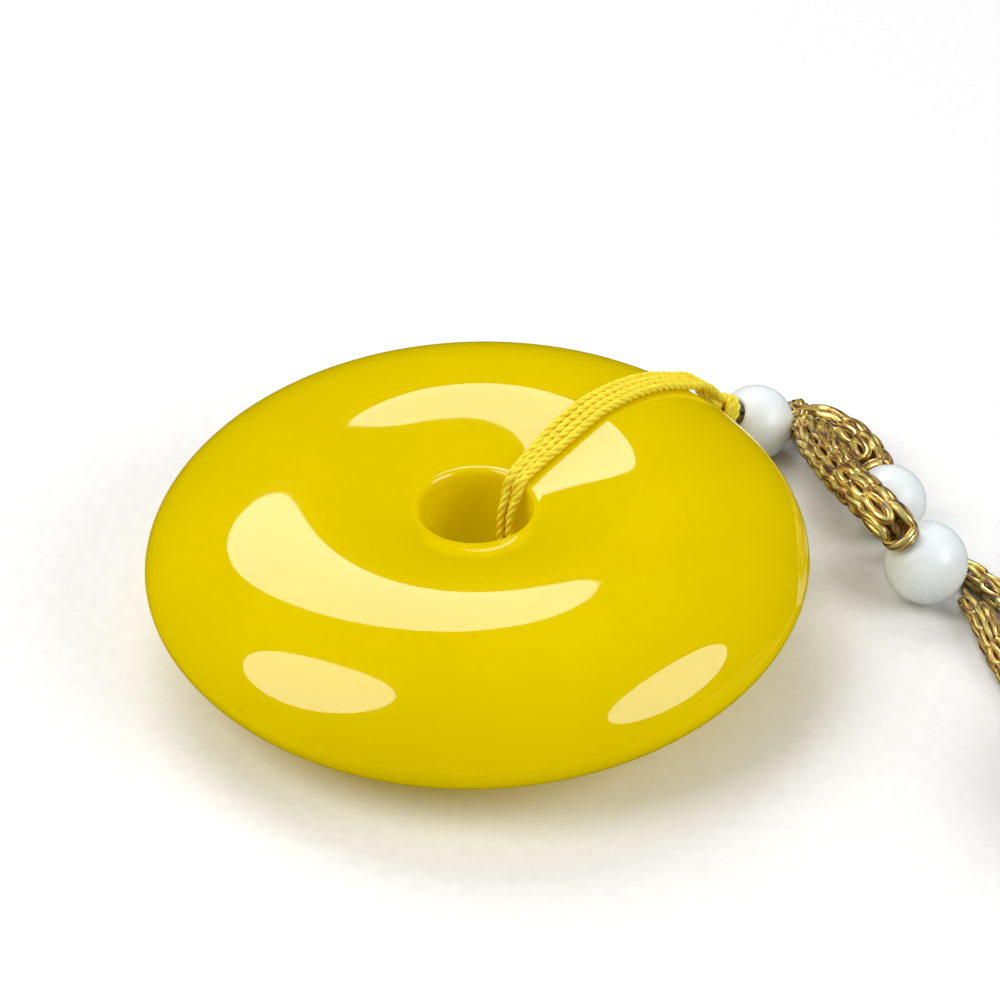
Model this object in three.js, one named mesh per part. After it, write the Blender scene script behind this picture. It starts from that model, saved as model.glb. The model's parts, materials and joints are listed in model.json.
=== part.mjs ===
// A polished donut pendant on a beaded cord, lying on a table.
// Millimetres, +Z up, origin on the table under the middle of the ring.
import * as THREE from "three";

// ---------- driving dimensions ----------
const RING_DIAMETER = 50;
const RING_THICKNESS = 13;
const RIDGE_RADIUS = 12.8; // where the ring is thickest
const BORE_RADIUS = 4.35;
const BORE_EDGE = 0.45; // rounding where the bore meets the funnel
const RIM_POWERS = [2, 1.7]; // 2 and 2 would be an ellipse
const FUNNEL_SLOPE = 0.16; // the funnel's slope just inside the ridge
const FUNNEL_BEND = 0.5; // how softly that slope starts
const FUNNEL_CURVE = 0.0155; // how much it steepens towards the bore
const RING_TILT = THREE.MathUtils.degToRad(2.5); // the loop under the ring lifts one side
const LOOP_AZIMUTH = THREE.MathUtils.degToRad(44.5); // the way that the loop leaves the ring

const STRAND_COUNT = 4;
const STRAND_DIAMETER = 0.6;
const STRAND_PITCH = 0.8; // from one strand's middle to the next
const GATHERED_END = 0.5; // at each end the bundle is round for this far
const GATHER_LENGTH = 6; // over which the flat loop rolls up into a round bundle

const CORE_DIAMETER = 0.7;
const CORE_CLEARANCE = 0.35;
const KNOT_DIAMETER = 3.2;
const KNOT_LENGTH = 1.5;
const SLEEVE_DIAMETER = 3;
const NECK_CORD_DIAMETER = 2.2;
const TOUCH_GAP = 0.3; // between two pieces that touch on the real object

const COIL_CENTRE = { x: 57, y: -21 };
const COIL_RADIUS = 12.1; // at the middle of its turns
const COIL_LAYERS = 3; // turns side by side, and turns on top of each other
const TIE_THICKNESS = 0.4;
const TIE_WIDTH = 3;
const TIE_AZIMUTH = -Math.PI / 4; // where round the coil the tie is
const COIL_ROUNDING = 1;
const TIE_ROUNDING = 1.2;

// ---------- fineness of the meshes ----------
const CORD_SIDES = 8;
const SLEEVE_SIDES = 12;
const RING_SIDES = 72;
const BEAD_SIDES = 24;
const COIL_SIDES = 48;
const CORNER_STEPS = 3;
const STRAND_STATIONS = 44;
const STRAND_STEPS = 56;
const SLEEVE_STEPS = 14;
const NECK_CORD_STEPS = 14;
const CORE_STEPS = 24;

// ---------- materials ----------
const finish = (color, roughness, metalness = 0) =>
  new THREE.MeshStandardMaterial({ color, roughness, metalness });
const YELLOW_STONE = finish(0xe6d003, 0.06);
const YELLOW_THREAD = finish(0xf6df22, 0.6);
const WHITE_STONE = finish(0xdee4e0, 0.25);
const GOLD_BRAID = finish(0xb98a34, 0.35, 0.7);

const part = new THREE.Group();

function add(name, geometry, material, parent = part) {
  const mesh = new THREE.Mesh(geometry, material);
  mesh.name = name;
  parent.add(mesh);
  return mesh;
}

// ---------- helpers ----------
const points = (list) => list.map(([x, y, z]) => new THREE.Vector3(x, y, z));
const smooth = (list) => new THREE.CatmullRomCurve3(points(list), false, "centripetal");

function polygon(radius, sides) {
  const shape = new THREE.Shape();
  for (let i = 0; i < sides; i++) {
    const angle = (2 * Math.PI * (i + 0.5)) / sides;
    const corner = [radius * Math.cos(angle), radius * Math.sin(angle)];
    if (i === 0) shape.moveTo(...corner);
    else shape.lineTo(...corner);
  }
  shape.closePath();
  return shape;
}

function tube(path, diameter, { sides = CORD_SIDES, steps, boreDiameter = 0 }) {
  const section = polygon(diameter / 2, sides);
  if (boreDiameter > 0) section.holes.push(polygon(boreDiameter / 2, sides));
  return new THREE.ExtrudeGeometry(section, { steps, extrudePath: path, bevelEnabled: false });
}

// A closed outline of [radius, height] pairs, turned round its axis.
function turned(outline, sides) {
  const profile = outline.map(([r, z]) => new THREE.Vector2(r, z));
  profile.push(profile[0].clone());
  const geometry = new THREE.LatheGeometry(profile, sides);
  return geometry.rotateX(Math.PI / 2);
}

// ---------- ring ----------
const ringRadius = RING_DIAMETER / 2;
const ringHalfHeight = RING_THICKNESS / 2;

function funnelHeight(radius) {
  const inward = RIDGE_RADIUS - radius;
  const drop = FUNNEL_SLOPE * (Math.hypot(inward, FUNNEL_BEND) - FUNNEL_BEND);
  return ringHalfHeight - drop - FUNNEL_CURVE * inward ** 2;
}

// The top half of the section as [radius, height] pairs, from the outer rim to the bore's wall.
function ringUpperOutline() {
  const outline = [];
  const rimSteps = 14;
  for (let i = 0; i < rimSteps; i++) {
    const turn = (i / rimSteps) * (Math.PI / 2);
    outline.push([
      RIDGE_RADIUS + (ringRadius - RIDGE_RADIUS) * Math.cos(turn) ** (2 / RIM_POWERS[0]),
      ringHalfHeight * Math.sin(turn) ** (2 / RIM_POWERS[1]),
    ]);
  }
  const edgeTop = BORE_RADIUS + BORE_EDGE;
  const funnelSteps = 8;
  for (let i = 0; i < funnelSteps; i++) {
    const radius = RIDGE_RADIUS + (edgeTop - RIDGE_RADIUS) * (i / funnelSteps);
    outline.push([radius, funnelHeight(radius)]);
  }
  const edgeSteps = 4;
  const edgeCentre = funnelHeight(edgeTop) - BORE_EDGE;
  for (let i = 0; i <= edgeSteps; i++) {
    const turn = (1 + i / edgeSteps) * (Math.PI / 2);
    outline.push([edgeTop + BORE_EDGE * Math.cos(turn), edgeCentre + BORE_EDGE * Math.sin(turn)]);
  }
  return outline;
}

const upperOutline = ringUpperOutline();
const lowerOutline = upperOutline.slice(1).reverse().map(([r, z]) => [r, -z]);
const ringLift = Math.max(
  ...upperOutline.map(([r, z]) => r * Math.sin(RING_TILT) + z * Math.cos(RING_TILT)),
);

function makeRing() {
  const ring = add("donut_ring", turned([...lowerOutline, ...upperOutline], RING_SIDES), YELLOW_STONE);
  const tiltAxis = new THREE.Vector3(Math.sin(LOOP_AZIMUTH), -Math.cos(LOOP_AZIMUTH), 0);
  ring.setRotationFromAxisAngle(tiltAxis, RING_TILT);
  ring.position.z = ringLift;
}

// ---------- loop of four strands through the bore ----------
// The middle of the bundle: [out from the ring's axis, sideways, height above the table].
const LOOP_ROUTE = [
  [28.7, 1.8, 6.65],
  [28.2, 1.75, 7.1],
  [27.5, 1.4, 7.85],
  [26.7, 0.95, 8.75],
  [25.9, 0.6, 9.75],
  [24.6, 0.25, 11.0],
  [22.9, 0, 12.25],
  [20.3, 0, 13.6],
  [17.3, 0, 14.6],
  [14.2, 0, 15.05],
  [11.4, 0, 14.9],
  [8.6, 0, 14.15],
  [6.3, 0, 13.35],
  [4.5, 0, 12.3],
  [3.4, 0, 10.9],
  [3.1, 0, 8.6],
  [3.1, 0, 5.6],
  [3.4, 0, 3.5],
  [4.5, 0, 2.0],
  [6.4, 0, 1.0],
  [9, 0, 0.55],
  [12.4, 0, 0.42],
  [16.5, 0, 0.42],
  [20.5, 0, 0.42],
  [23.4, 0.3, 0.5],
  [25.4, 0.9, 0.8],
  [26.7, 1.5, 1.45],
  [27.6, 1.9, 2.4],
  [28.28, 1.93, 3.55],
];

const loopOut = new THREE.Vector3(Math.cos(LOOP_AZIMUTH), Math.sin(LOOP_AZIMUTH), 0);
const loopSide = new THREE.Vector3(-Math.sin(LOOP_AZIMUTH), Math.cos(LOOP_AZIMUTH), 0);

function loopPoint([out, side, height]) {
  return new THREE.Vector3(0, 0, height).addScaledVector(loopOut, out).addScaledVector(loopSide, side);
}

// Where a strand lies in the bundle: flat side by side at 0, two by two at 1.
function strandOffset(index, gathered) {
  const pair = index < STRAND_COUNT / 2 ? -1 : 1;
  const member = index % 2 === 0 ? -1 : 1;
  const turn = (gathered * Math.PI) / 2;
  return {
    side: STRAND_PITCH * (pair * (1 - gathered / 2) + (member * Math.cos(turn)) / 2),
    up: (STRAND_PITCH * member * Math.sin(turn)) / 2,
  };
}

function strandPath(index) {
  const middle = new THREE.CatmullRomCurve3(LOOP_ROUTE.map(loopPoint), false, "centripetal");
  const length = middle.getLength();
  const path = [];
  for (let i = 0; i <= STRAND_STATIONS; i++) {
    const along = i / STRAND_STATIONS;
    const toEnd = Math.min(along, 1 - along) * length;
    const gathered = 1 - THREE.MathUtils.smoothstep(toEnd, GATHERED_END, GATHER_LENGTH);
    const offset = strandOffset(index, gathered);
    const forward = middle.getTangentAt(along);
    const side = loopSide.clone().addScaledVector(forward, -loopSide.dot(forward)).normalize();
    const up = new THREE.Vector3().crossVectors(forward, side);
    path.push(middle.getPointAt(along).addScaledVector(side, offset.side).addScaledVector(up, offset.up));
  }
  return new THREE.CatmullRomCurve3(path, false, "centripetal");
}

function makeLoop() {
  for (let i = 0; i < STRAND_COUNT; i++) {
    const strand = tube(strandPath(i), STRAND_DIAMETER, { steps: STRAND_STEPS });
    add(`loop_strand_${i + 1}`, strand, YELLOW_THREAD);
  }
}

// ---------- beads, each with its bore along the way that the cord runs ----------
const BEADS = [
  { name: "bead_1", at: [22.9, 23.4, 3.1], along: [0.74, 0.4, -0.54], diameter: 6.2, cores: 2 },
  { name: "bead_2", at: [32.8, 12.6, 2.95], along: [0.14, -0.99, 0], diameter: 5.9, cores: 1 },
  { name: "bead_3", at: [34.65, 3.68, 3.6], along: [0.6, 0.12, -0.79], diameter: 6.5, cores: 1 },
];
const corePitch = CORE_DIAMETER + TOUCH_GAP;
const Z_AXIS = new THREE.Vector3(0, 0, 1);

function aim(mesh, at, along) {
  mesh.position.set(...at);
  mesh.quaternion.setFromUnitVectors(Z_AXIS, new THREE.Vector3(...along).normalize());
}

// The point that lies the given distance along the bead's bore from its middle.
function onBore(bead, distance, sideways = 0) {
  const along = new THREE.Vector3(...bead.along).normalize();
  const side = new THREE.Vector3().crossVectors(along, Z_AXIS).normalize();
  return new THREE.Vector3(...bead.at).addScaledVector(along, distance).addScaledVector(side, sideways);
}

function makeBead(bead) {
  const radius = bead.diameter / 2;
  const bore = ((bead.cores - 1) * corePitch + CORE_DIAMETER) / 2 + CORE_CLEARANCE;
  const mouth = Math.acos(bore / radius);
  const steps = 12;
  const outline = [];
  for (let i = 0; i <= steps; i++) {
    const turn = mouth * ((2 * i) / steps - 1);
    outline.push([radius * Math.cos(turn), radius * Math.sin(turn)]);
  }
  aim(add(bead.name, turned(outline, BEAD_SIDES), WHITE_STONE), bead.at, bead.along);
}

// The knot that gathers both halves of the loop in front of the first bead.
function makeLoopKnot() {
  const rounding = 0.4;
  const [radius, half] = [KNOT_DIAMETER / 2, KNOT_LENGTH / 2];
  const outline = [
    [0, -half],
    [radius - rounding, -half],
    [radius, rounding - half],
    [radius, half - rounding],
    [radius - rounding, half],
    [0, half],
  ];
  const profile = outline.map(([r, z]) => new THREE.Vector2(r, z));
  const geometry = new THREE.LatheGeometry(profile, BEAD_SIDES).rotateX(Math.PI / 2);
  const [first] = BEADS;
  const middle = onBore(first, -(first.diameter / 2 + TOUCH_GAP + half));
  aim(add("loop_knot", geometry, YELLOW_THREAD), middle.toArray(), first.along);
}

// ---------- braided gold sleeves, each over a core cord between two beads ----------
const SLEEVES = [
  {
    side: "a",
    ends: [BEADS[0], BEADS[2]],
    coreSide: 1,
    route: [
      [27.3, 22.2, 3.1],
      [27.5, 19.4, 4.0],
      [28.0, 15.8, 5.1],
      [28.8, 11.8, 6.1],
      [29.7, 8.4, 6.95],
      [30.4, 6.3, 7.4],
      [30.9, 4.9, 7.6],
      [31.4, 3.85, 7.6],
      [32.07, 3.16, 7.0],
    ],
  },
  {
    side: "b",
    ends: [BEADS[0], BEADS[1]],
    coreSide: -1,
    route: [
      [27.0, 25.9, 1.9],
      [28.4, 25.4, 1.8],
      [29.9, 24.0, 1.9],
      [31.1, 21.8, 2.2],
      [31.8, 19.0, 2.6],
      [32.28, 16.25, 2.95],
    ],
  },
];

function makeSleeve({ side, ends, coreSide, route }) {
  const boreDiameter = CORE_DIAMETER + 2 * CORE_CLEARANCE;
  const options = { sides: SLEEVE_SIDES, steps: SLEEVE_STEPS, boreDiameter };
  add(`gold_sleeve_${side}`, tube(smooth(route), SLEEVE_DIAMETER, options), GOLD_BRAID);

  const [from, to] = ends;
  const coreRoute = [
    onBore(from, -from.diameter / 2, (coreSide * corePitch) / 2),
    onBore(from, 0, (coreSide * corePitch) / 2),
    onBore(from, from.diameter / 2, (coreSide * corePitch) / 2),
    ...points(route),
    onBore(to, 0),
    onBore(to, to.diameter / 2),
  ];
  const corePath = new THREE.CatmullRomCurve3(coreRoute, false, "centripetal");
  add(`core_cord_${side}`, tube(corePath, CORE_DIAMETER, { steps: CORE_STEPS }), GOLD_BRAID);
}

// ---------- neck cord: out of bead 3, a coil put away for storage, and back into bead 2 ----------
const NECK_TO_COIL = [
  [37.75, 2.4, 1.2],
  [38.35, 1.4, 1.13],
  [38.7, 0.2, 1.12],
  [39.0, -1.4, 1.12],
  [39.4, -4.2, 1.12],
  [40.3, -8, 1.12],
  [41.4, -12, 1.12],
];
const NECK_FROM_COIL = [
  [48.6, -6.3, 2.6],
  [46.3, -5.6, 1.6],
  [44.4, -4.2, 1.12],
  [42.9, -1.9, 1.12],
  [41.6, 0.6, 1.12],
  [40.4, 2.9, 1.12],
  [39.0, 5.1, 1.12],
  [37.2, 7.05, 1.15],
  [35.6, 7.8, 1.45],
  [34.6, 8.12, 1.85],
  [33.8, 8.35, 2.35],
  [33.32, 8.85, 2.7],
];

function roundedBox(inner, outer, bottom, top, rounding) {
  const shape = new THREE.Shape();
  shape.moveTo(inner + rounding, bottom);
  shape.lineTo(outer - rounding, bottom);
  shape.absarc(outer - rounding, bottom + rounding, rounding, -Math.PI / 2, 0);
  shape.absarc(outer - rounding, top - rounding, rounding, 0, Math.PI / 2);
  shape.absarc(inner + rounding, top - rounding, rounding, Math.PI / 2, Math.PI);
  shape.absarc(inner + rounding, bottom + rounding, rounding, Math.PI, 1.5 * Math.PI);
  return shape;
}

function makeNeckCord() {
  const path = { steps: NECK_CORD_STEPS };
  add("neck_cord_to_coil", tube(smooth(NECK_TO_COIL), NECK_CORD_DIAMETER, path), GOLD_BRAID);
  add("neck_cord_from_coil", tube(smooth(NECK_FROM_COIL), NECK_CORD_DIAMETER, path), GOLD_BRAID);

  const half = (COIL_LAYERS * NECK_CORD_DIAMETER) / 2;
  const base = TIE_THICKNESS + TOUCH_GAP;
  const section = roundedBox(
    COIL_RADIUS - half,
    COIL_RADIUS + half,
    base,
    base + 2 * half,
    COIL_ROUNDING,
  );
  const outline = section.getPoints(CORNER_STEPS).map(({ x, y }) => [x, y]);
  outline.pop();
  const coil = add("neck_cord_coil", turned(outline, COIL_SIDES), GOLD_BRAID);
  coil.position.set(COIL_CENTRE.x, COIL_CENTRE.y, 0);

  const band = roundedBox(
    COIL_RADIUS - half - base,
    COIL_RADIUS + half + base,
    0,
    2 * (half + base),
    TIE_ROUNDING,
  );
  const hole = roundedBox(
    COIL_RADIUS - half - TOUCH_GAP,
    COIL_RADIUS + half + TOUCH_GAP,
    TIE_THICKNESS,
    2 * (half + base) - TIE_THICKNESS,
    COIL_ROUNDING,
  );
  band.holes.push(hole);
  const geometry = new THREE.ExtrudeGeometry(band, {
    depth: TIE_WIDTH,
    curveSegments: CORNER_STEPS,
    bevelEnabled: false,
  });
  geometry.translate(0, 0, -TIE_WIDTH / 2).rotateX(Math.PI / 2);
  const tie = add("coil_tie", geometry, YELLOW_THREAD);
  tie.rotation.z = TIE_AZIMUTH;
  tie.position.set(COIL_CENTRE.x, COIL_CENTRE.y, 0);
}

makeRing();
makeLoop();
makeLoopKnot();
BEADS.forEach(makeBead);
SLEEVES.forEach(makeSleeve);
makeNeckCord();

export default part;
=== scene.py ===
"""A polished yellow donut pendant on a beaded gold cord, lying on a pale table.

Metres, +Z up, origin on the table under the middle of the ring. Lengths are given in millimetres
times MM. Every thread, knitted sleeve and cord is swept from its own yarn paths.
"""

import json
import math

import bmesh
import bpy
import numpy as np
from mathutils import Matrix, Vector


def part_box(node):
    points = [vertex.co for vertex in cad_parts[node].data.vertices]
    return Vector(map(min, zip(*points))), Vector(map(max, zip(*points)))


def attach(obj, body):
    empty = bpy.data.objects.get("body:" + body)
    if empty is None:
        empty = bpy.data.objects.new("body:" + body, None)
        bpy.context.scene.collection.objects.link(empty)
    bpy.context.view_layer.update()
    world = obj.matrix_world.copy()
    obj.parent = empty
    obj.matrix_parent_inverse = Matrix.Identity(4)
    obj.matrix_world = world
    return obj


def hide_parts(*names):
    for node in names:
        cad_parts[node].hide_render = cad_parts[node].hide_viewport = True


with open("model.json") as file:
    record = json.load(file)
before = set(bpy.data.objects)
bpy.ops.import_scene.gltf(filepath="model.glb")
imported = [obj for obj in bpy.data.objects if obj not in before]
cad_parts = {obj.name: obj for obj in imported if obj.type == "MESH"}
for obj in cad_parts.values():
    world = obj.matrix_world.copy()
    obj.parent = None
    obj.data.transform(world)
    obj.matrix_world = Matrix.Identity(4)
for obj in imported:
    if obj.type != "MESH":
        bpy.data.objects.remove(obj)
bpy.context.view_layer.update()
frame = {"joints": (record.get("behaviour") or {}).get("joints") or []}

MM = 0.001
Z_AXIS = np.array([0.0, 0.0, 1.0])

# ---------- sizes ----------
RING_RADIUS = 25 * MM
RING_HALF_HEIGHT = 6.5 * MM
RIDGE_RADIUS = 12.8 * MM  # where the ring is thickest
BORE_RADIUS = 4.35 * MM
BORE_EDGE = 0.45 * MM
RIM_POWERS = (2, 1.7)
FUNNEL_SLOPE = 0.16
FUNNEL_BEND = 0.5 * MM
FUNNEL_CURVE = 0.0155 / MM
RING_TILT = math.radians(2.5)
LOOP_AZIMUTH = math.radians(44.5)

PLY_COUNT = 3
STRAND_COUNT = 4
STRAND_DIAMETER = 0.69 * MM
STRAND_PITCH = 0.67 * MM
STRAND_TWIST = 2.15 * MM  # length of one full turn of the plies
GATHER_START = 0.5 * MM
GATHER_LENGTH = 6 * MM
CONTACT_GAP = 0.04 * MM

BEAD_RADII = {"bead_1": 3.1 * MM, "bead_2": 2.95 * MM, "bead_3": 3.25 * MM}
BEAD_BORES = {"bead_1": 1.2 * MM, "bead_2": 0.7 * MM, "bead_3": 0.7 * MM}
CORE_PITCH = 1.0 * MM
CORE_DIAMETER = 0.7 * MM
KNOT_DIAMETER = 3.2 * MM
KNOT_LENGTH = 1.5 * MM
TOUCH_GAP = 0.3 * MM

SLEEVE_DIAMETER = 3.35 * MM
NECK_CORD_DIAMETER = 2.2 * MM
COIL_CENTRE = np.array([57, -21, 0]) * MM
COIL_RADIUS = 12.1 * MM
COIL_LAYERS = 3
TIE_YARN = 0.55 * MM

# ---------- camera ----------
low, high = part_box("donut_ring")
RING_CENTRE = (np.array(low) + np.array(high)) / 2

CAMERA_DISTANCE = 230 * MM
CAMERA_ELEVATION = math.radians(36.6)
CAMERA_AIM = np.array([1.735, 6.491, 0]) * MM  # from the middle of the ring
CAMERA_ROLL = math.radians(0.907)
CAMERA_FIELD = math.radians(18.64)


def unit(vectors):
    return vectors / np.linalg.norm(vectors, axis=-1, keepdims=True)


def look_along(forward, roll):
    """Right, up and back of something that looks along forward and is then rolled."""
    right = unit(np.cross(forward, Z_AXIS))
    up = np.cross(right, forward)
    turned_right = right * math.cos(roll) + up * math.sin(roll)
    turned_up = up * math.cos(roll) - right * math.sin(roll)
    return turned_right, turned_up, -forward


def place(obj, position, axes):
    columns = np.eye(4)
    columns[:3, :3] = np.array(axes).T
    columns[:3, 3] = position
    obj.matrix_world = Matrix(columns.tolist())


def make_camera():
    data = bpy.data.cameras.new("camera")
    data.angle = CAMERA_FIELD
    data.clip_start = 10 * MM
    camera = bpy.data.objects.new("camera", data)
    bpy.context.scene.collection.objects.link(camera)
    away = np.array([0, -math.cos(CAMERA_ELEVATION), math.sin(CAMERA_ELEVATION)])
    position = RING_CENTRE + CAMERA_DISTANCE * away
    forward = unit(RING_CENTRE + CAMERA_AIM - position)
    place(camera, position, look_along(forward, CAMERA_ROLL))
    bpy.context.scene.camera = camera


# ---------- shapes ----------
def spline(points, step):
    """A centripetal Catmull-Rom curve through points, as a line of evenly spaced points."""
    points = np.asarray(points, float)
    before = 2 * points[0] - points[1]
    after = 2 * points[-1] - points[-2]
    knots = np.vstack([before, points, after])
    fine = []
    for p0, p1, p2, p3 in zip(knots, knots[1:], knots[2:], knots[3:]):
        t0 = 0
        t1 = t0 + math.sqrt(np.linalg.norm(p1 - p0))
        t2 = t1 + math.sqrt(np.linalg.norm(p2 - p1))
        t3 = t2 + math.sqrt(np.linalg.norm(p3 - p2))
        t = np.linspace(t1, t2, 24, endpoint=False)[:, None]
        a1 = (t1 - t) / (t1 - t0) * p0 + (t - t0) / (t1 - t0) * p1
        a2 = (t2 - t) / (t2 - t1) * p1 + (t - t1) / (t2 - t1) * p2
        a3 = (t3 - t) / (t3 - t2) * p2 + (t - t2) / (t3 - t2) * p3
        b1 = (t2 - t) / (t2 - t0) * a1 + (t - t0) / (t2 - t0) * a2
        b2 = (t3 - t) / (t3 - t1) * a2 + (t - t1) / (t3 - t1) * a3
        fine.append((t2 - t) / (t2 - t1) * b1 + (t - t1) / (t2 - t1) * b2)
    fine = np.vstack([*fine, points[-1:]])
    return resample(fine, step)


def distances(line):
    """How far along the line each of its points is."""
    steps = np.linalg.norm(np.diff(line, axis=0), axis=1)
    return np.concatenate([[0], np.cumsum(steps)])


def resample(line, step):
    along = distances(line)
    count = max(2, round(along[-1] / step) + 1)
    return at_distance(line, np.linspace(0, along[-1], count))


def at_distance(line, wanted):
    along = distances(line)
    return np.stack([np.interp(wanted, along, line[:, axis]) for axis in range(3)], axis=1)


def smoothstep(value, start, end):
    share = np.clip((value - start) / (end - start), 0, 1)
    return share * share * (3 - 2 * share)


def sections(line, reference):
    """Tangent, normal and side of a line; the normal is as near to reference as it can be."""
    tangent = unit(np.gradient(line, axis=0))
    reference = np.broadcast_to(reference, line.shape)
    along = np.sum(reference * tangent, axis=1, keepdims=True)
    normal = unit(reference - along * tangent)
    return tangent, normal, np.cross(tangent, normal)


class Shape:
    """Corners, faces and each face corner's (around, along) of a piece made of swept tubes."""

    def __init__(self):
        self.corners = []
        self.faces = []
        self.wraps = []
        self.count = 0

    def tube(self, line, reference, radius, sides):
        """A capped tube. radius is one number or one for each point of the line."""
        _, normal, side = sections(line, reference)
        angle = np.arange(sides) * 2 * math.pi / sides
        radii = np.broadcast_to(radius, len(line))[:, None, None]
        ring = np.cos(angle)[:, None] * normal[:, None] + np.sin(angle)[:, None] * side[:, None]
        self.corners.append((line[:, None] + radii * ring).reshape(-1, 3))

        rows = np.arange(len(line) - 1)[:, None] * sides
        here = np.arange(sides)[None]
        there = (here + 1) % sides
        quads = np.stack([rows + here, rows + there, rows + sides + there, rows + sides + here], -1)
        quads = quads.reshape(-1, 4) + self.count
        around = np.broadcast_to(np.arange(sides) / sides, (len(line) - 1, sides)).ravel()
        along = distances(line) / MM
        near = np.repeat(along[:-1], sides)
        far = np.repeat(along[1:], sides)
        step = 1 / sides
        wrap = np.stack(
            [
                np.stack([around, near], -1),
                np.stack([around + step, near], -1),
                np.stack([around + step, far], -1),
                np.stack([around, far], -1),
            ],
            axis=1,
        )
        self.faces.extend(quads.tolist())
        self.wraps.append(wrap.reshape(-1, 2))
        last = self.count + (len(line) - 1) * sides
        self.faces.append([self.count + i for i in reversed(range(sides))])
        self.faces.append([last + i for i in range(sides)])
        self.wraps.append(np.zeros((2 * sides, 2)))
        self.count += len(line) * sides

    def piece(self, name, material):
        obj = new_piece(name, np.vstack(self.corners), self.faces, material)
        layer = obj.data.uv_layers.new(name="wrap")
        layer.data.foreach_set("uv", np.vstack(self.wraps).ravel())
        return obj


def new_piece(name, corners, faces, material):
    mesh = bpy.data.meshes.new(name)
    mesh.from_pydata(np.asarray(corners).tolist(), [], faces)
    mesh.polygons.foreach_set("use_smooth", [True] * len(mesh.polygons))
    mesh.materials.append(material)
    obj = bpy.data.objects.new(name, mesh)
    bpy.context.scene.collection.objects.link(obj)
    return obj


def lathe(name, outline, sides, material, origin=(0, 0, 0), axis=Z_AXIS):
    """A closed outline of [radius, height] pairs, turned round an axis through origin."""
    outline = np.asarray(outline)
    angle = np.arange(sides) * 2 * math.pi / sides
    spokes = np.stack([np.cos(angle), np.sin(angle), np.zeros(sides)], -1)
    corners = outline[None, :, :1] * spokes[:, None] + outline[None, :, 1:] * Z_AXIS
    corners = corners.reshape(-1, 3)
    count = len(outline)
    faces = []
    for i in range(sides):
        row, next_row = i * count, (i + 1) % sides * count
        for j in range(count):
            k = (j + 1) % count
            faces.append([row + j, next_row + j, next_row + k, row + k])
    turn = Vector((0, 0, 1)).rotation_difference(Vector(axis)).to_matrix()
    corners = corners @ np.array(turn).T + np.asarray(origin)
    obj = new_piece(name, corners, faces, material)
    shell = bmesh.new()
    shell.from_mesh(obj.data)
    bmesh.ops.recalc_face_normals(shell, faces=shell.faces)
    shell.to_mesh(obj.data)
    shell.free()
    return obj


# ---------- materials ----------
class Nodes:
    """Short names for the shader nodes that the materials below share."""

    def __init__(self, name):
        self.material = bpy.data.materials.new(name)
        self.material.use_nodes = True
        self.tree = self.material.node_tree
        self.shader = self.tree.nodes["Principled BSDF"]

    def set(self, **values):
        for name, value in values.items():
            self.shader.inputs[name.replace("_", " ")].default_value = value

    def link(self, source, target):
        self.tree.links.new(source, target)

    def add(self, kind, **values):
        node = self.tree.nodes.new(kind)
        for name, value in values.items():
            if name in node.inputs:
                node.inputs[name].default_value = value
            else:
                setattr(node, name, value)
        return node

    def noise(self, scale, detail=4.0, coordinates=None, stretch=None):
        """A noise value over the piece, or over its wrap coordinates stretched by (x, y, z)."""
        if coordinates is None:
            coordinates = self.add("ShaderNodeTexCoord").outputs["Object"]
        if stretch is not None:
            mapping = self.add("ShaderNodeMapping", Scale=stretch)
            self.link(coordinates, mapping.inputs["Vector"])
            coordinates = mapping.outputs["Vector"]
        node = self.add("ShaderNodeTexNoise", Scale=scale, Detail=detail)
        self.link(coordinates, node.inputs["Vector"])
        return node.outputs["Fac"]

    def wrap(self):
        return self.add("ShaderNodeUVMap", uv_map="wrap").outputs["UV"]

    def ramp(self, value, stops):
        """stops are (position, colour or grey)."""
        node = self.add("ShaderNodeValToRGB")
        self.link(value, node.inputs["Fac"])
        elements = node.color_ramp.elements
        while len(elements) < len(stops):
            elements.new(0.5)
        for element, (position, colour) in zip(elements, stops):
            element.position = position
            grey = (colour, colour, colour) if isinstance(colour, float) else colour
            element.color = (*grey, 1)
        return node.outputs["Color"]

    def bump(self, heights):
        """heights are (value, strength, distance), the broadest first."""
        normal = None
        for value, strength, distance in heights:
            node = self.add("ShaderNodeBump", Strength=strength, Distance=distance)
            self.link(value, node.inputs["Height"])
            if normal is not None:
                self.link(normal, node.inputs["Normal"])
            normal = node.outputs["Normal"]
        self.link(normal, self.shader.inputs["Normal"])


def yellow_stone():
    """Opaque polished stone: faint clouds and hairline marks in the polish."""
    nodes = Nodes("yellow_stone")
    clouds = nodes.noise(70, detail=5.0)
    colour = nodes.ramp(clouds, [(0.3, (0.54, 0.40, 0.0)), (0.7, (0.59, 0.45, 0.0))])
    nodes.link(colour, nodes.shader.inputs["Base Color"])
    hairlines = nodes.noise(260, detail=8.0, stretch=(1, 9, 2))
    polish = nodes.ramp(hairlines, [(0.4, 0.025), (0.75, 0.07)])
    nodes.link(polish, nodes.shader.inputs["Roughness"])
    ripple = nodes.noise(45, detail=1.0)
    nodes.bump([(ripple, 0.06, 0.4 * MM), (hairlines, 0.02, 0.02 * MM)])
    nodes.set(IOR=1.5, Specular_IOR_Level=0.62)
    nodes.set(Subsurface_Weight=0.5, Subsurface_Scale=MM)
    # Painted glow: a faint yellow emission brightens the whole ring and lifts its shaded underside
    # and bore as if they were lit.
    nodes.set(Emission_Color=(0.8, 0.6, 0, 1), Emission_Strength=0.24)
    nodes.shader.inputs["Subsurface Radius"].default_value = (5.0, 4.0, 0.4)
    return nodes.material


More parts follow.
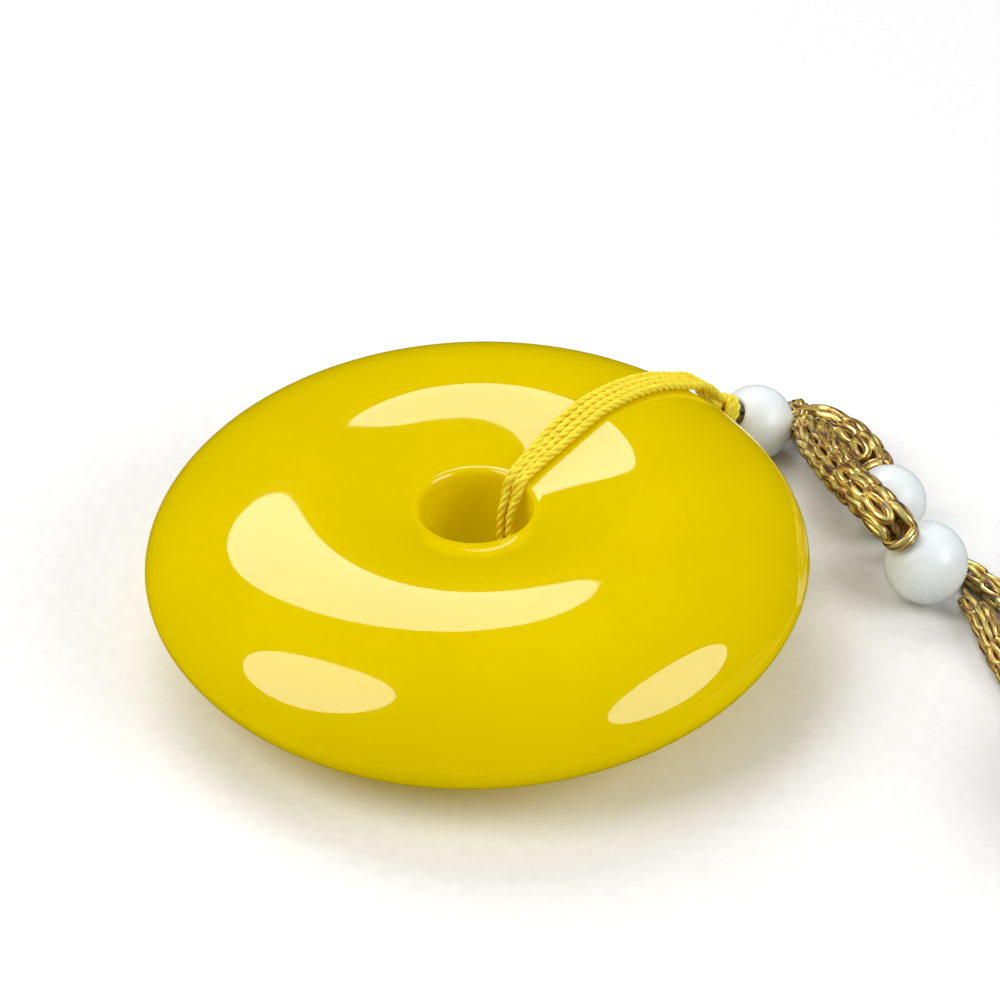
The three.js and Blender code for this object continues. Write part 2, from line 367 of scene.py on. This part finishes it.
def white_stone():
    """Milky white beads with faint veins and a satin polish."""
    nodes = Nodes("white_stone")
    veins = nodes.noise(420, detail=6.0, stretch=(1, 2.2, 1))
    colour = nodes.ramp(veins, [(0.3, (0.80, 0.86, 0.87)), (0.65, (0.86, 0.92, 0.93))])
    nodes.link(colour, nodes.shader.inputs["Base Color"])
    polish = nodes.ramp(nodes.noise(2500), [(0.3, 0.26), (0.7, 0.34)])
    nodes.link(polish, nodes.shader.inputs["Roughness"])
    nodes.bump([(veins, 0.03, 0.1 * MM)])
    nodes.set(Subsurface_Weight=0.6, Subsurface_Scale=1.5 * MM, Specular_IOR_Level=0.6)
    nodes.shader.inputs["Subsurface Radius"].default_value = (1.0, 1.0, 0.9)
    return nodes.material


def thread(name, shade, light):
    """Twisted thread: fine fibres that run along each ply."""
    nodes = Nodes(name)
    wrap = nodes.wrap()
    fibres = nodes.noise(1.0, detail=5.0, coordinates=wrap, stretch=(16, 1.6, 1))
    colour = nodes.ramp(fibres, [(0.32, shade), (0.62, light)])
    nodes.link(colour, nodes.shader.inputs["Base Color"])
    roughness = nodes.ramp(fibres, [(0.3, 0.62), (0.7, 0.45)])
    nodes.link(roughness, nodes.shader.inputs["Roughness"])
    nodes.bump([(fibres, 0.35, 0.05 * MM)])
    nodes.set(Specular_IOR_Level=0.5, Subsurface_Weight=0.6, Subsurface_Scale=0.35 * MM)
    nodes.shader.inputs["Subsurface Radius"].default_value = (1.0, 0.8, 0.2)
    return nodes.material


def gold_yarn(name):
    """Metallic yarn: gold, copper and brown filaments, with painted glints and painted dark
    reflections in its colour along them.
    """
    nodes = Nodes(name)
    wrap = nodes.wrap()
    filaments_and_glints = nodes.noise(1.0, detail=3.0, coordinates=wrap, stretch=(9, 0.55, 1))
    # Partly the yarn's own gold, copper and brown tones and partly painted light: the darkest stops
    # are painted dark reflections and the brightest stops are painted glints.
    colour = nodes.ramp(
        filaments_and_glints,
        [
            (0.38, (0.13, 0.07, 0.065)),
            (0.46, (0.42, 0.17, 0.07)),
            (0.52, (0.95, 0.66, 0.10)),
            (0.60, (1.0, 0.96, 0.34)),
        ],
    )
    nodes.link(colour, nodes.shader.inputs["Base Color"])
    roughness = nodes.ramp(filaments_and_glints, [(0.35, 0.42), (0.65, 0.2)])
    nodes.link(roughness, nodes.shader.inputs["Roughness"])
    ridges = nodes.noise(1.0, detail=2.0, coordinates=wrap, stretch=(14, 0.3, 1))
    nodes.bump([(ridges, 0.5, 0.06 * MM)])
    nodes.set(Metallic=0.55, Coat_Weight=0.6, Coat_Roughness=0.2)
    return nodes.material


YELLOW_STONE = yellow_stone()
WHITE_STONE = white_stone()
YELLOW_THREAD = thread("yellow_thread", (0.92, 0.47, 0.0), (1.0, 0.92, 0.05))
CORE_THREAD = thread("core_thread", (0.22, 0.12, 0.04), (0.42, 0.27, 0.08))
GOLD_BRAID = gold_yarn("gold_braid")


# ---------- yarn ----------
def add_yarn(shape, line, reference, diameter, twist, sides=9):
    """Adds a yarn of PLY_COUNT plies that twist round each other along the line."""
    _, normal, side = sections(line, reference)
    ply_radius = diameter * 0.27
    offset = diameter / 2 - ply_radius
    along = distances(line)
    for ply in range(PLY_COUNT):
        angle = 2 * math.pi * (along / twist + ply / PLY_COUNT)[:, None]
        outward = np.cos(angle) * normal + np.sin(angle) * side
        shape.tube(line + offset * outward, outward, ply_radius, sides)


# ---------- ring ----------
def funnel_height(radius):
    inward = RIDGE_RADIUS - radius
    drop = FUNNEL_SLOPE * (np.hypot(inward, FUNNEL_BEND) - FUNNEL_BEND)
    return RING_HALF_HEIGHT - drop - FUNNEL_CURVE * inward**2


def ring_upper_outline():
    """The top half of the ring's section as [radius, height], from the rim to the bore."""
    turn = (np.linspace(0, 1, 72, endpoint=False) ** 1.15) * math.pi / 2
    rim_reach = RING_RADIUS - RIDGE_RADIUS
    rim = np.stack(
        [
            RIDGE_RADIUS + rim_reach * np.cos(turn) ** (2 / RIM_POWERS[0]),
            RING_HALF_HEIGHT * np.sin(turn) ** (2 / RIM_POWERS[1]),
        ],
        axis=1,
    )
    edge_top = BORE_RADIUS + BORE_EDGE
    radius = np.linspace(RIDGE_RADIUS, edge_top, 40, endpoint=False)
    funnel = np.stack([radius, funnel_height(radius)], axis=1)
    turn = np.linspace(0.5, 1, 9) * math.pi
    edge_centre = funnel_height(edge_top) - BORE_EDGE
    edge = np.stack(
        [edge_top + BORE_EDGE * np.cos(turn), edge_centre + BORE_EDGE * np.sin(turn)], axis=1
    )
    wall_heights = np.linspace(edge_centre, 0, 9)[1:]
    wall = np.stack([np.full(len(wall_heights), BORE_RADIUS), wall_heights], axis=1)
    return np.vstack([rim, funnel, edge, wall])


UPPER_OUTLINE = ring_upper_outline()
TILT_AXIS = np.array([math.sin(LOOP_AZIMUTH), -math.cos(LOOP_AZIMUTH), 0])
TILT = np.array(Matrix.Rotation(RING_TILT, 3, Vector(TILT_AXIS)))


def make_ring():
    lower = UPPER_OUTLINE[1:-1][::-1] * np.array([1, -1])
    outline = np.vstack([UPPER_OUTLINE, lower])
    ring = lathe("ring_stone", outline, 320, YELLOW_STONE, RING_CENTRE, TILT @ Z_AXIS)
    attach(ring, "ring")
    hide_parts("donut_ring")


# ---------- loop of four strands ----------
# The middle of the bundle: out from the ring's axis, sideways, height above the table.
# Both ends run on into the knot's windings.
LOOP_ROUTE = [
    (29.15, 1.7, 6.1),
    (28.7, 1.8, 6.65),
    (28.2, 1.75, 7.1),
    (27.5, 1.4, 7.85),
    (26.7, 0.95, 8.75),
    (25.9, 0.6, 9.75),
    (24.6, 0.25, 11.0),
    (22.9, 0, 12.25),
    (20.3, 0, 13.6),
    (17.3, 0, 14.6),
    (14.2, 0, 15.05),
    (11.4, 0, 14.9),
    (8.6, 0, 14.15),
    (6.3, 0, 13.35),
    (4.5, 0, 12.3),
    (3.4, 0, 10.9),
    (3.1, 0, 8.6),
    (3.1, 0, 5.6),
    (3.4, 0, 3.5),
    (4.5, 0, 2.0),
    (6.4, 0, 1.0),
    (9, 0, 0.55),
    (12.4, 0, 0.42),
    (16.5, 0, 0.42),
    (20.5, 0, 0.42),
    (23.4, 0.3, 0.5),
    (25.4, 0.9, 0.8),
    (26.7, 1.5, 1.45),
    (27.6, 1.9, 2.4),
    (28.28, 1.93, 3.55),
    (28.75, 1.85, 4.4),
    (29.1, 1.7, 5.0),
]
LOOP_OUT = np.array([math.cos(LOOP_AZIMUTH), math.sin(LOOP_AZIMUTH), 0])
LOOP_SIDE = np.array([-math.sin(LOOP_AZIMUTH), math.cos(LOOP_AZIMUTH), 0])


def settle(line, radius):
    """Lays the part of a strand that is over the ring down on it."""
    local = (line - RING_CENTRE) @ TILT
    flat = np.stack([np.hypot(local[:, 0], local[:, 1]), local[:, 2]], axis=1)
    away = flat[:, None] - UPPER_OUTLINE[None]
    gaps = np.linalg.norm(away, axis=2)
    nearest = gaps.argmin(axis=1)
    rows = np.arange(len(line))
    direction = away[rows, nearest] / gaps[rows, nearest][:, None]
    spare = gaps[rows, nearest] - radius - CONTACT_GAP
    over = smoothstep(flat[:, 1], 2 * MM, 4 * MM) * smoothstep(-flat[:, 0], -25.2 * MM, -21.5 * MM)
    move = np.clip(spare, -radius, 1.2 * MM) * over
    window = np.hanning(15)
    move = np.convolve(np.pad(move, 7, mode="edge"), window / window.sum(), mode="valid")
    flat = flat - direction * move[:, None]
    spoke = local[:, :2] / np.linalg.norm(local[:, :2], axis=1, keepdims=True)
    local = np.column_stack([spoke * flat[:, :1], flat[:, 1]])
    return local @ TILT.T + RING_CENTRE


def strand_line(index):
    """The middle of one strand: side by side over the ring, two by two at the knot."""
    out, side, height = np.array(LOOP_ROUTE).T[..., None] * MM
    middle = spline(out * LOOP_OUT + side * LOOP_SIDE + height * Z_AXIS, 0.14 * MM)
    along = distances(middle)
    to_end = np.minimum(along, along[-1] - along)
    gathered = 1 - smoothstep(to_end, GATHER_START, GATHER_LENGTH)
    from_axis = np.hypot(middle[:, 0], middle[:, 1])
    gathered = np.maximum(gathered, 0.65 * (1 - smoothstep(from_axis, 4 * MM, 10 * MM)))
    pair = -1 if index < STRAND_COUNT / 2 else 1
    member = -1 if index % 2 == 0 else 1
    turn = gathered * math.pi / 2
    sideways = STRAND_PITCH * (pair * (1 - gathered / 2) + member * np.cos(turn) / 2)
    upward = STRAND_PITCH * member * np.sin(turn) / 2
    tangent, normal, _ = sections(middle, LOOP_SIDE)
    up = np.cross(tangent, normal)
    line = middle + sideways[:, None] * normal + upward[:, None] * up
    return resample(settle(line, STRAND_DIAMETER / 2), 0.14 * MM)


def make_loop():
    exit_point = BEADS["bead_1"].point(-BEAD_RADII["bead_1"])
    strands = []
    for index in range(STRAND_COUNT):
        line = strand_line(index)
        shape = Shape()
        add_yarn(shape, line, LOOP_SIDE, STRAND_DIAMETER, STRAND_TWIST * (1 + 0.03 * index))
        strand = shape.piece(f"loop_thread_{index + 1}", YELLOW_THREAD)
        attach(strand, "cord")
        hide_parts(f"loop_strand_{index + 1}")
        strands.append(strand)
    return strands


# ---------- beads ----------
class Bead:
    """A bead's middle and the way its bore runs, both from its joint."""

    def __init__(self, name):
        joint = next(j for j in frame["joints"] if j["name"] == f"{name}_spin")
        self.name = name
        self.radius = BEAD_RADII[name]
        self.bore = BEAD_BORES[name]
        self.middle = np.array(joint["pos_m"], float)
        self.along = unit(np.array(joint["axis"], float))
        self.side = unit(np.cross(self.along, Z_AXIS))

    def point(self, distance, sideways=0.0):
        return self.middle + distance * self.along + sideways * self.side


def make_bead(bead):
    """A ball with a bore whose mouths are rounded over."""
    mouth_round = 0.22 * MM
    reach = bead.bore + mouth_round
    mouth = math.acos(reach / bead.radius)
    turn = np.linspace(-mouth, mouth, 49)
    ball = np.stack([bead.radius * np.cos(turn), bead.radius * np.sin(turn)], axis=1)
    top = ball[-1, 1]
    curve = np.linspace(0.5, 1, 7)[1:] * math.pi
    upper_mouth = np.stack(
        [reach + mouth_round * np.cos(curve), top - mouth_round * (1 - np.sin(curve))], axis=1
    )
    wall = np.linspace(upper_mouth[-1, 1], -upper_mouth[-1, 1], 9)[1:-1]
    bore_wall = np.stack([np.full(len(wall), bead.bore), wall], axis=1)
    lower_mouth = upper_mouth[::-1] * np.array([1, -1])
    outline = np.vstack([ball, upper_mouth, bore_wall, lower_mouth])
    ball_piece = lathe(f"{bead.name}_stone", outline, 96, WHITE_STONE, bead.middle, bead.along)
    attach(ball_piece, bead.name)
    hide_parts(bead.name)
    return ball_piece


BEADS = {name: Bead(name) for name in BEAD_RADII}


# ---------- knot in front of the first bead ----------
def wound(origin, along, reference, radius, pitch, turns, wobble):
    """A winding round the axis that leans from side to side as hand-tied thread does."""
    angle = np.linspace(0, 2 * math.pi * turns, round(60 * turns))[:, None]
    side = unit(np.cross(along, reference))
    up = np.cross(side, along)
    travel = pitch * (angle / (2 * math.pi) - turns / 2) + wobble * np.sin(angle + 0.7)
    spoke = np.cos(angle) * side + np.sin(angle) * up
    return origin + radius * (1 + 0.05 * np.sin(2.3 * angle)) * spoke + travel * along, spoke


def make_loop_knot():
    bead = BEADS["bead_1"]
    middle = bead.point(-(bead.radius + TOUCH_GAP + KNOT_LENGTH / 2))
    shape = Shape()
    yarn = 0.66 * MM
    winding, spoke = wound(
        middle, bead.along, Z_AXIS, KNOT_DIAMETER / 2 - 0.4 * MM, 0.5 * MM, 2.6, 0.16 * MM
    )
    add_yarn(shape, resample(winding, 0.1 * MM), bead.along, yarn, 2 * MM)
    up = np.cross(bead.side, bead.along)
    for index in range(7):
        angle = index * math.pi / 3
        reach = 0 if index == 6 else 0.62 * MM
        offset = reach * (math.cos(angle) * bead.side + math.sin(angle) * up)
        run = np.linspace(-1.5, 1.0, 30)[:, None] * MM
        bow = 1 + 0.12 * np.cos(run / MM)
        add_yarn(shape, middle + offset * bow + run * bead.along, up, 0.6 * MM, 2.2 * MM)
    knot = shape.piece("loop_knot_thread", YELLOW_THREAD)
    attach(knot, "cord")
    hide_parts("loop_knot")
    return knot


# ---------- knitted gold tube ----------
def add_knit(shape, line, diameter, course, yarn_radius, wales, detail, sides, taper=0.0):
    """Adds a tube knitted from one yarn round and round, whose stitches stand in columns.

    Each stitch is a loop whose two legs show outside and whose head and foot lie inside.
    """
    length = distances(line)[-1]
    courses = max(2, round(length / course) - 1)
    course = length / (courses + 0.9)
    turn = np.linspace(0, 2 * math.pi * wales * courses, wales * courses * detail + 1)
    depth = 0.4 * yarn_radius
    middle_radius = diameter / 2 - yarn_radius - depth
    lean = 0.16
    reach = 0.6 * course
    around = (turn / (2 * math.pi) + lean * np.sin(2 * turn)) * 2 * math.pi / wales
    rise = course * turn / (2 * math.pi * wales) - reach * np.cos(turn) + 0.45 * course
    rise = np.clip(rise, 0, length)
    outward = middle_radius - depth * np.cos(2 * turn)
    if taper:
        to_end = np.minimum(rise, length - rise)
        outward = outward * (1 - taper * (1 - smoothstep(to_end, 0, 1.2 * MM)))
    spine = at_distance(line, rise)
    _, normal, side = sections(line, Z_AXIS)
    normal = unit(at_distance_of(line, normal, rise))
    side = unit(at_distance_of(line, side, rise))
    spoke = np.cos(around)[:, None] * normal + np.sin(around)[:, None] * side
    shape.tube(spine + outward[:, None] * spoke, spoke, yarn_radius, sides)


def at_distance_of(line, values, wanted):
    along = distances(line)
    return np.stack([np.interp(wanted, along, values[:, axis]) for axis in range(3)], axis=1)


SLEEVE_ROUTES = {
    "a": [
        (26.2, 22.1, 2.8),
        (27.3, 22.2, 3.1),
        (27.5, 19.4, 4.0),
        (28.0, 15.8, 5.1),
        (28.8, 11.8, 6.1),
        (29.7, 8.4, 6.95),
        (30.4, 6.3, 7.4),
        (30.9, 4.9, 7.6),
        (31.4, 3.85, 7.6),
        (32.07, 3.16, 7.0),
        (32.5, 3.0, 6.5),
        (32.8, 2.95, 6.15),
    ],
    "b": [
        (25.75, 25.9, 2.4),
        (27.0, 25.9, 1.9),
        (28.4, 25.4, 1.8),
        (29.9, 24.0, 1.9),
        (31.1, 21.8, 2.2),
        (31.8, 19.0, 2.6),
        (32.28, 16.25, 2.95),
        (32.36, 15.75, 2.95),
    ],
}
SLEEVE_BEADS = {"a": ("bead_1", "bead_3", 1), "b": ("bead_1", "bead_2", -1)}


def bind_end(shape, line):
    """Winds the yarn round the sleeve's end and in towards the thread that it slides on."""
    turns = 3
    angle = np.linspace(0, 2 * math.pi * turns, 40 * turns)
    share = angle / angle[-1]
    spine = at_distance(line, 1.1 * MM * (1 - share))
    _, normal, side = sections(line, Z_AXIS)
    spoke = np.cos(angle)[:, None] * normal[0] + np.sin(angle)[:, None] * side[0]
    reach = (1.22 - 0.5 * smoothstep(share, 0.35, 1)) * MM
    shape.tube(spine + reach[:, None] * spoke, spoke, 0.3 * MM, 8)


def make_sleeve(side):
    route = np.array(SLEEVE_ROUTES[side]) * MM
    shape = Shape()
    add_knit(
        shape, spline(route, 0.2 * MM), SLEEVE_DIAMETER, 2.57 * MM, 0.36 * MM, 5, 34, 8, taper=0.15
    )
    for end in (spline(route, 0.1 * MM), spline(route[::-1], 0.1 * MM)):
        bind_end(shape, end)
    sleeve = shape.piece(f"gold_sleeve_{side}_knit", GOLD_BRAID)
    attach(sleeve, "cord")
    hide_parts(f"gold_sleeve_{side}")

    start, end, core_side = SLEEVE_BEADS[side]
    start, end = BEADS[start], BEADS[end]
    offset = core_side * CORE_PITCH / 2
    ends = [start.point(distance, offset) for distance in (-start.radius, 0, start.radius)]
    far = [end.point(0), end.point(end.radius)]
    core_shape = Shape()
    core_line = spline(np.vstack([ends, route, far]), 0.15 * MM)
    add_yarn(core_shape, core_line, Z_AXIS, CORE_DIAMETER, 2 * MM)
    core = core_shape.piece(f"core_thread_{side}", CORE_THREAD)
    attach(core, "cord")
    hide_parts(f"core_cord_{side}")
    return [sleeve, core]


# ---------- neck cord ----------
NECK_TO_COIL = [
    (37.75, 2.4, 1.2),
    (38.35, 1.4, 1.13),
    (38.7, 0.2, 1.12),
    (39.0, -1.4, 1.12),
    (39.4, -4.2, 1.12),
    (40.3, -8, 1.12),
    (41.4, -12, 1.12),
]
NECK_FROM_COIL = [
    (48.6, -6.3, 2.6),
    (46.3, -5.6, 1.6),
    (44.4, -4.2, 1.12),
    (42.9, -1.9, 1.12),
    (41.6, 0.6, 1.12),
    (40.4, 2.9, 1.12),
    (39.0, 5.1, 1.12),
    (37.2, 7.05, 1.15),
    (35.6, 7.8, 1.45),
    (34.6, 8.12, 1.85),
    (33.8, 8.35, 2.35),
    (33.32, 8.85, 2.7),
]
# Where each turn of the coil lies: (turns out from the innermost, layers up).
COIL_TURNS = [(2, 0), (1, 0), (0, 0), (0, 1), (1, 1), (2, 1), (2, 2), (1, 2)]
COIL_ENTRY = math.pi  # the west side
COIL_EXIT = math.pi / 2  # the north side
TURN_POINTS = 24
low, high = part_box("neck_cord_coil")
COIL_BASE = low[2]


def coil_points():
    """The coil's turns, counter-clockwise from the west side to the north side."""
    total = 2 * math.pi * (len(COIL_TURNS) - 1) + (2 * math.pi + COIL_EXIT - COIL_ENTRY)
    angle = np.linspace(0, total, round(TURN_POINTS * total / (2 * math.pi)))[1:]
    turn = angle / (2 * math.pi)
    whole = np.minimum(turn.astype(int), len(COIL_TURNS) - 1)
    following = np.minimum(whole + 1, len(COIL_TURNS) - 1)
    share = smoothstep(turn - whole, 0.78, 1.0)[:, None]
    steps = np.array(COIL_TURNS, float)
    place_in_coil = steps[whole] * (1 - share) + steps[following] * share
    half = (COIL_LAYERS - 1) / 2
    radius = COIL_RADIUS + (place_in_coil[:, 0] - half) * NECK_CORD_DIAMETER
    height = COIL_BASE + (place_in_coil[:, 1] + 0.5) * NECK_CORD_DIAMETER
    spoke = np.stack([np.cos(COIL_ENTRY + angle), np.sin(COIL_ENTRY + angle)], axis=1)
    flat = COIL_CENTRE[:2] + radius[:, None] * spoke
    return np.column_stack([flat, height])


def make_neck_cord(pieces):
    bead = BEADS["bead_3"]
    route = np.vstack(
        [
            np.array(NECK_TO_COIL) * MM,
            coil_points(),
            np.array(NECK_FROM_COIL) * MM,
        ]
    )
    line = spline(route, 0.5 * MM)
    shape = Shape()
    add_knit(shape, line, NECK_CORD_DIAMETER, 2.1 * MM, 0.29 * MM, 4, 12, 6)
    cord = shape.piece("neck_cord_knit", GOLD_BRAID)
    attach(cord, "cord")
    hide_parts("neck_cord_to_coil", "neck_cord_coil", "neck_cord_from_coil")
    bead.point(bead.radius)


def make_tie():
    """Thread wound five times round the coil and knotted at its top."""
    low, high = (np.array(c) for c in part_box("coil_tie"))
    coil_low, coil_high = (np.array(c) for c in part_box("neck_cord_coil"))
    gap = TOUCH_GAP + TIE_YARN / 2
    half_width = COIL_LAYERS * NECK_CORD_DIAMETER / 2 + gap
    bottom = max(TIE_YARN / 2, coil_low[2] - gap)
    top = coil_high[2] + gap
    middle_height = (bottom + top) / 2
    half_height = (top - bottom) / 2
    spoke = np.array([math.cos(-math.pi / 4), math.sin(-math.pi / 4), 0])
    sideways = np.array([-spoke[1], spoke[0], 0])
    centre = COIL_CENTRE + COIL_RADIUS * spoke + middle_height * Z_AXIS
    wraps = 5
    turn = np.linspace(0.5 * math.pi, (2 * wraps + 0.5) * math.pi, 60 * wraps)[:, None]
    squareness = 0.45  # 1 is an ellipse, less is nearer to a rectangle
    cosine, sine = np.cos(turn), np.sin(turn)
    out = half_width * np.sign(cosine) * np.abs(cosine) ** squareness
    up = half_height * np.sign(sine) * np.abs(sine) ** squareness
    travel = TIE_YARN * (turn - turn.mean()) / (2 * math.pi)
    line = resample(centre + out * spoke + up * Z_AXIS + travel * sideways, 0.12 * MM)
    shape = Shape()
    add_yarn(shape, line, sideways, TIE_YARN, 1.6 * MM)

    angle = np.linspace(0, 2 * math.pi, 120)[:, None]
    knot = (
        (np.sin(angle) + 2 * np.sin(2 * angle)) * sideways * 0.36 * MM
        + (np.cos(angle) - 2 * np.cos(2 * angle)) * spoke * 0.36 * MM
        - np.sin(3 * angle) * Z_AXIS * 0.26 * MM
    )
    knot_middle = centre + (half_height - 0.15 * MM) * Z_AXIS
    add_yarn(shape, resample(knot_middle + knot, 0.1 * MM), Z_AXIS, TIE_YARN, 1.6 * MM)
    tie = shape.piece("coil_tie_thread", YELLOW_THREAD)
    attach(tie, "cord")
    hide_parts("coil_tie")
    return tie


# ---------- studio ----------
FLOOR_SIZE = 4.0
LIGHT_DISTANCE = 450 * MM
FILL_RADIANCE = 0.45
# Azimuth and elevation as the ring sees them, half sizes, roll, radiance.
SOFTBOXES = {
    "softbox_back": (110, 50.5, 181 * MM, 112 * MM, -32, 4.4),
    "softbox_left": (-161, 47, 134 * MM, 188 * MM, -15, 4.4),
    "softbox_right": (-22, 31, 178 * MM, 136 * MM, 9, 4.2),
}


def make_softbox(name, azimuth, elevation, half_width, half_height, roll, radiance):
    azimuth, elevation, roll = (math.radians(value) for value in (azimuth, elevation, roll))
    toward = np.array(
        [
            math.cos(elevation) * math.cos(azimuth),
            math.cos(elevation) * math.sin(azimuth),
            math.sin(elevation),
        ]
    )
    across = unit(np.cross(Z_AXIS, toward))
    up = np.cross(toward, across)
    axes = [
        TILT @ (across * math.cos(roll) + up * math.sin(roll)),
        TILT @ (up * math.cos(roll) - across * math.sin(roll)),
        TILT @ toward,
    ]
    data = bpy.data.lights.new(name, "AREA")
    data.shape = "ELLIPSE"
    data.size = 2 * half_width
    data.size_y = 2 * half_height
    area = half_width * half_height * math.pi
    data.energy = radiance * math.pi * area
    light = bpy.data.objects.new(name, data)
    bpy.context.scene.collection.objects.link(light)
    place(light, RING_CENTRE + LIGHT_DISTANCE * axes[2], axes)


def make_floor():
    nodes = Nodes("table")
    grain = nodes.noise(900, detail=3.0)
    colour = nodes.ramp(grain, [(0.3, 0.86), (0.7, 0.9)])
    nodes.link(colour, nodes.shader.inputs["Base Color"])
    nodes.bump([(grain, 0.05, 0.05 * MM)])
    nodes.set(Roughness=0.8, Specular_IOR_Level=0.2)
    half = FLOOR_SIZE / 2
    corners = [(-half, -half, 0), (half, -half, 0), (half, half, 0), (-half, half, 0)]
    table = new_piece("table", corners, [[0, 1, 2, 3]], nodes.material)
    table.visible_glossy = False


def make_fill():
    """A wide soft light from above that lights the pieces but doesn't show in their polish."""
    data = bpy.data.lights.new("fill", "AREA")
    data.shape = "DISK"
    data.size = 900 * MM
    data.energy = FILL_RADIANCE * math.pi * (math.pi * (data.size / 2) ** 2)
    light = bpy.data.objects.new("fill", data)
    bpy.context.scene.collection.objects.link(light)
    place(light, RING_CENTRE + 600 * MM * Z_AXIS, np.eye(3))
    light.visible_glossy = False


def make_studio():
    make_fill()
    for name, values in SOFTBOXES.items():
        make_softbox(name, *values)
    make_floor()
    world = bpy.data.worlds.new("studio")
    world.use_nodes = True
    background = world.node_tree.nodes["Background"]
    background.inputs["Color"].default_value = (1, 1, 1, 1)
    background.inputs["Strength"].default_value = 0.16
    scene = bpy.context.scene
    scene.world = world
    world.cycles_visibility.glossy = False
    scene.view_settings.view_transform = "Standard"


make_camera()
loop_strands = make_loop()
beads = [make_bead(bead) for bead in BEADS.values()]
sleeves = [piece for side in SLEEVE_ROUTES for piece in make_sleeve(side)]
make_neck_cord([*beads, *sleeves, make_loop_knot(), make_tie()])
make_ring()
make_studio()
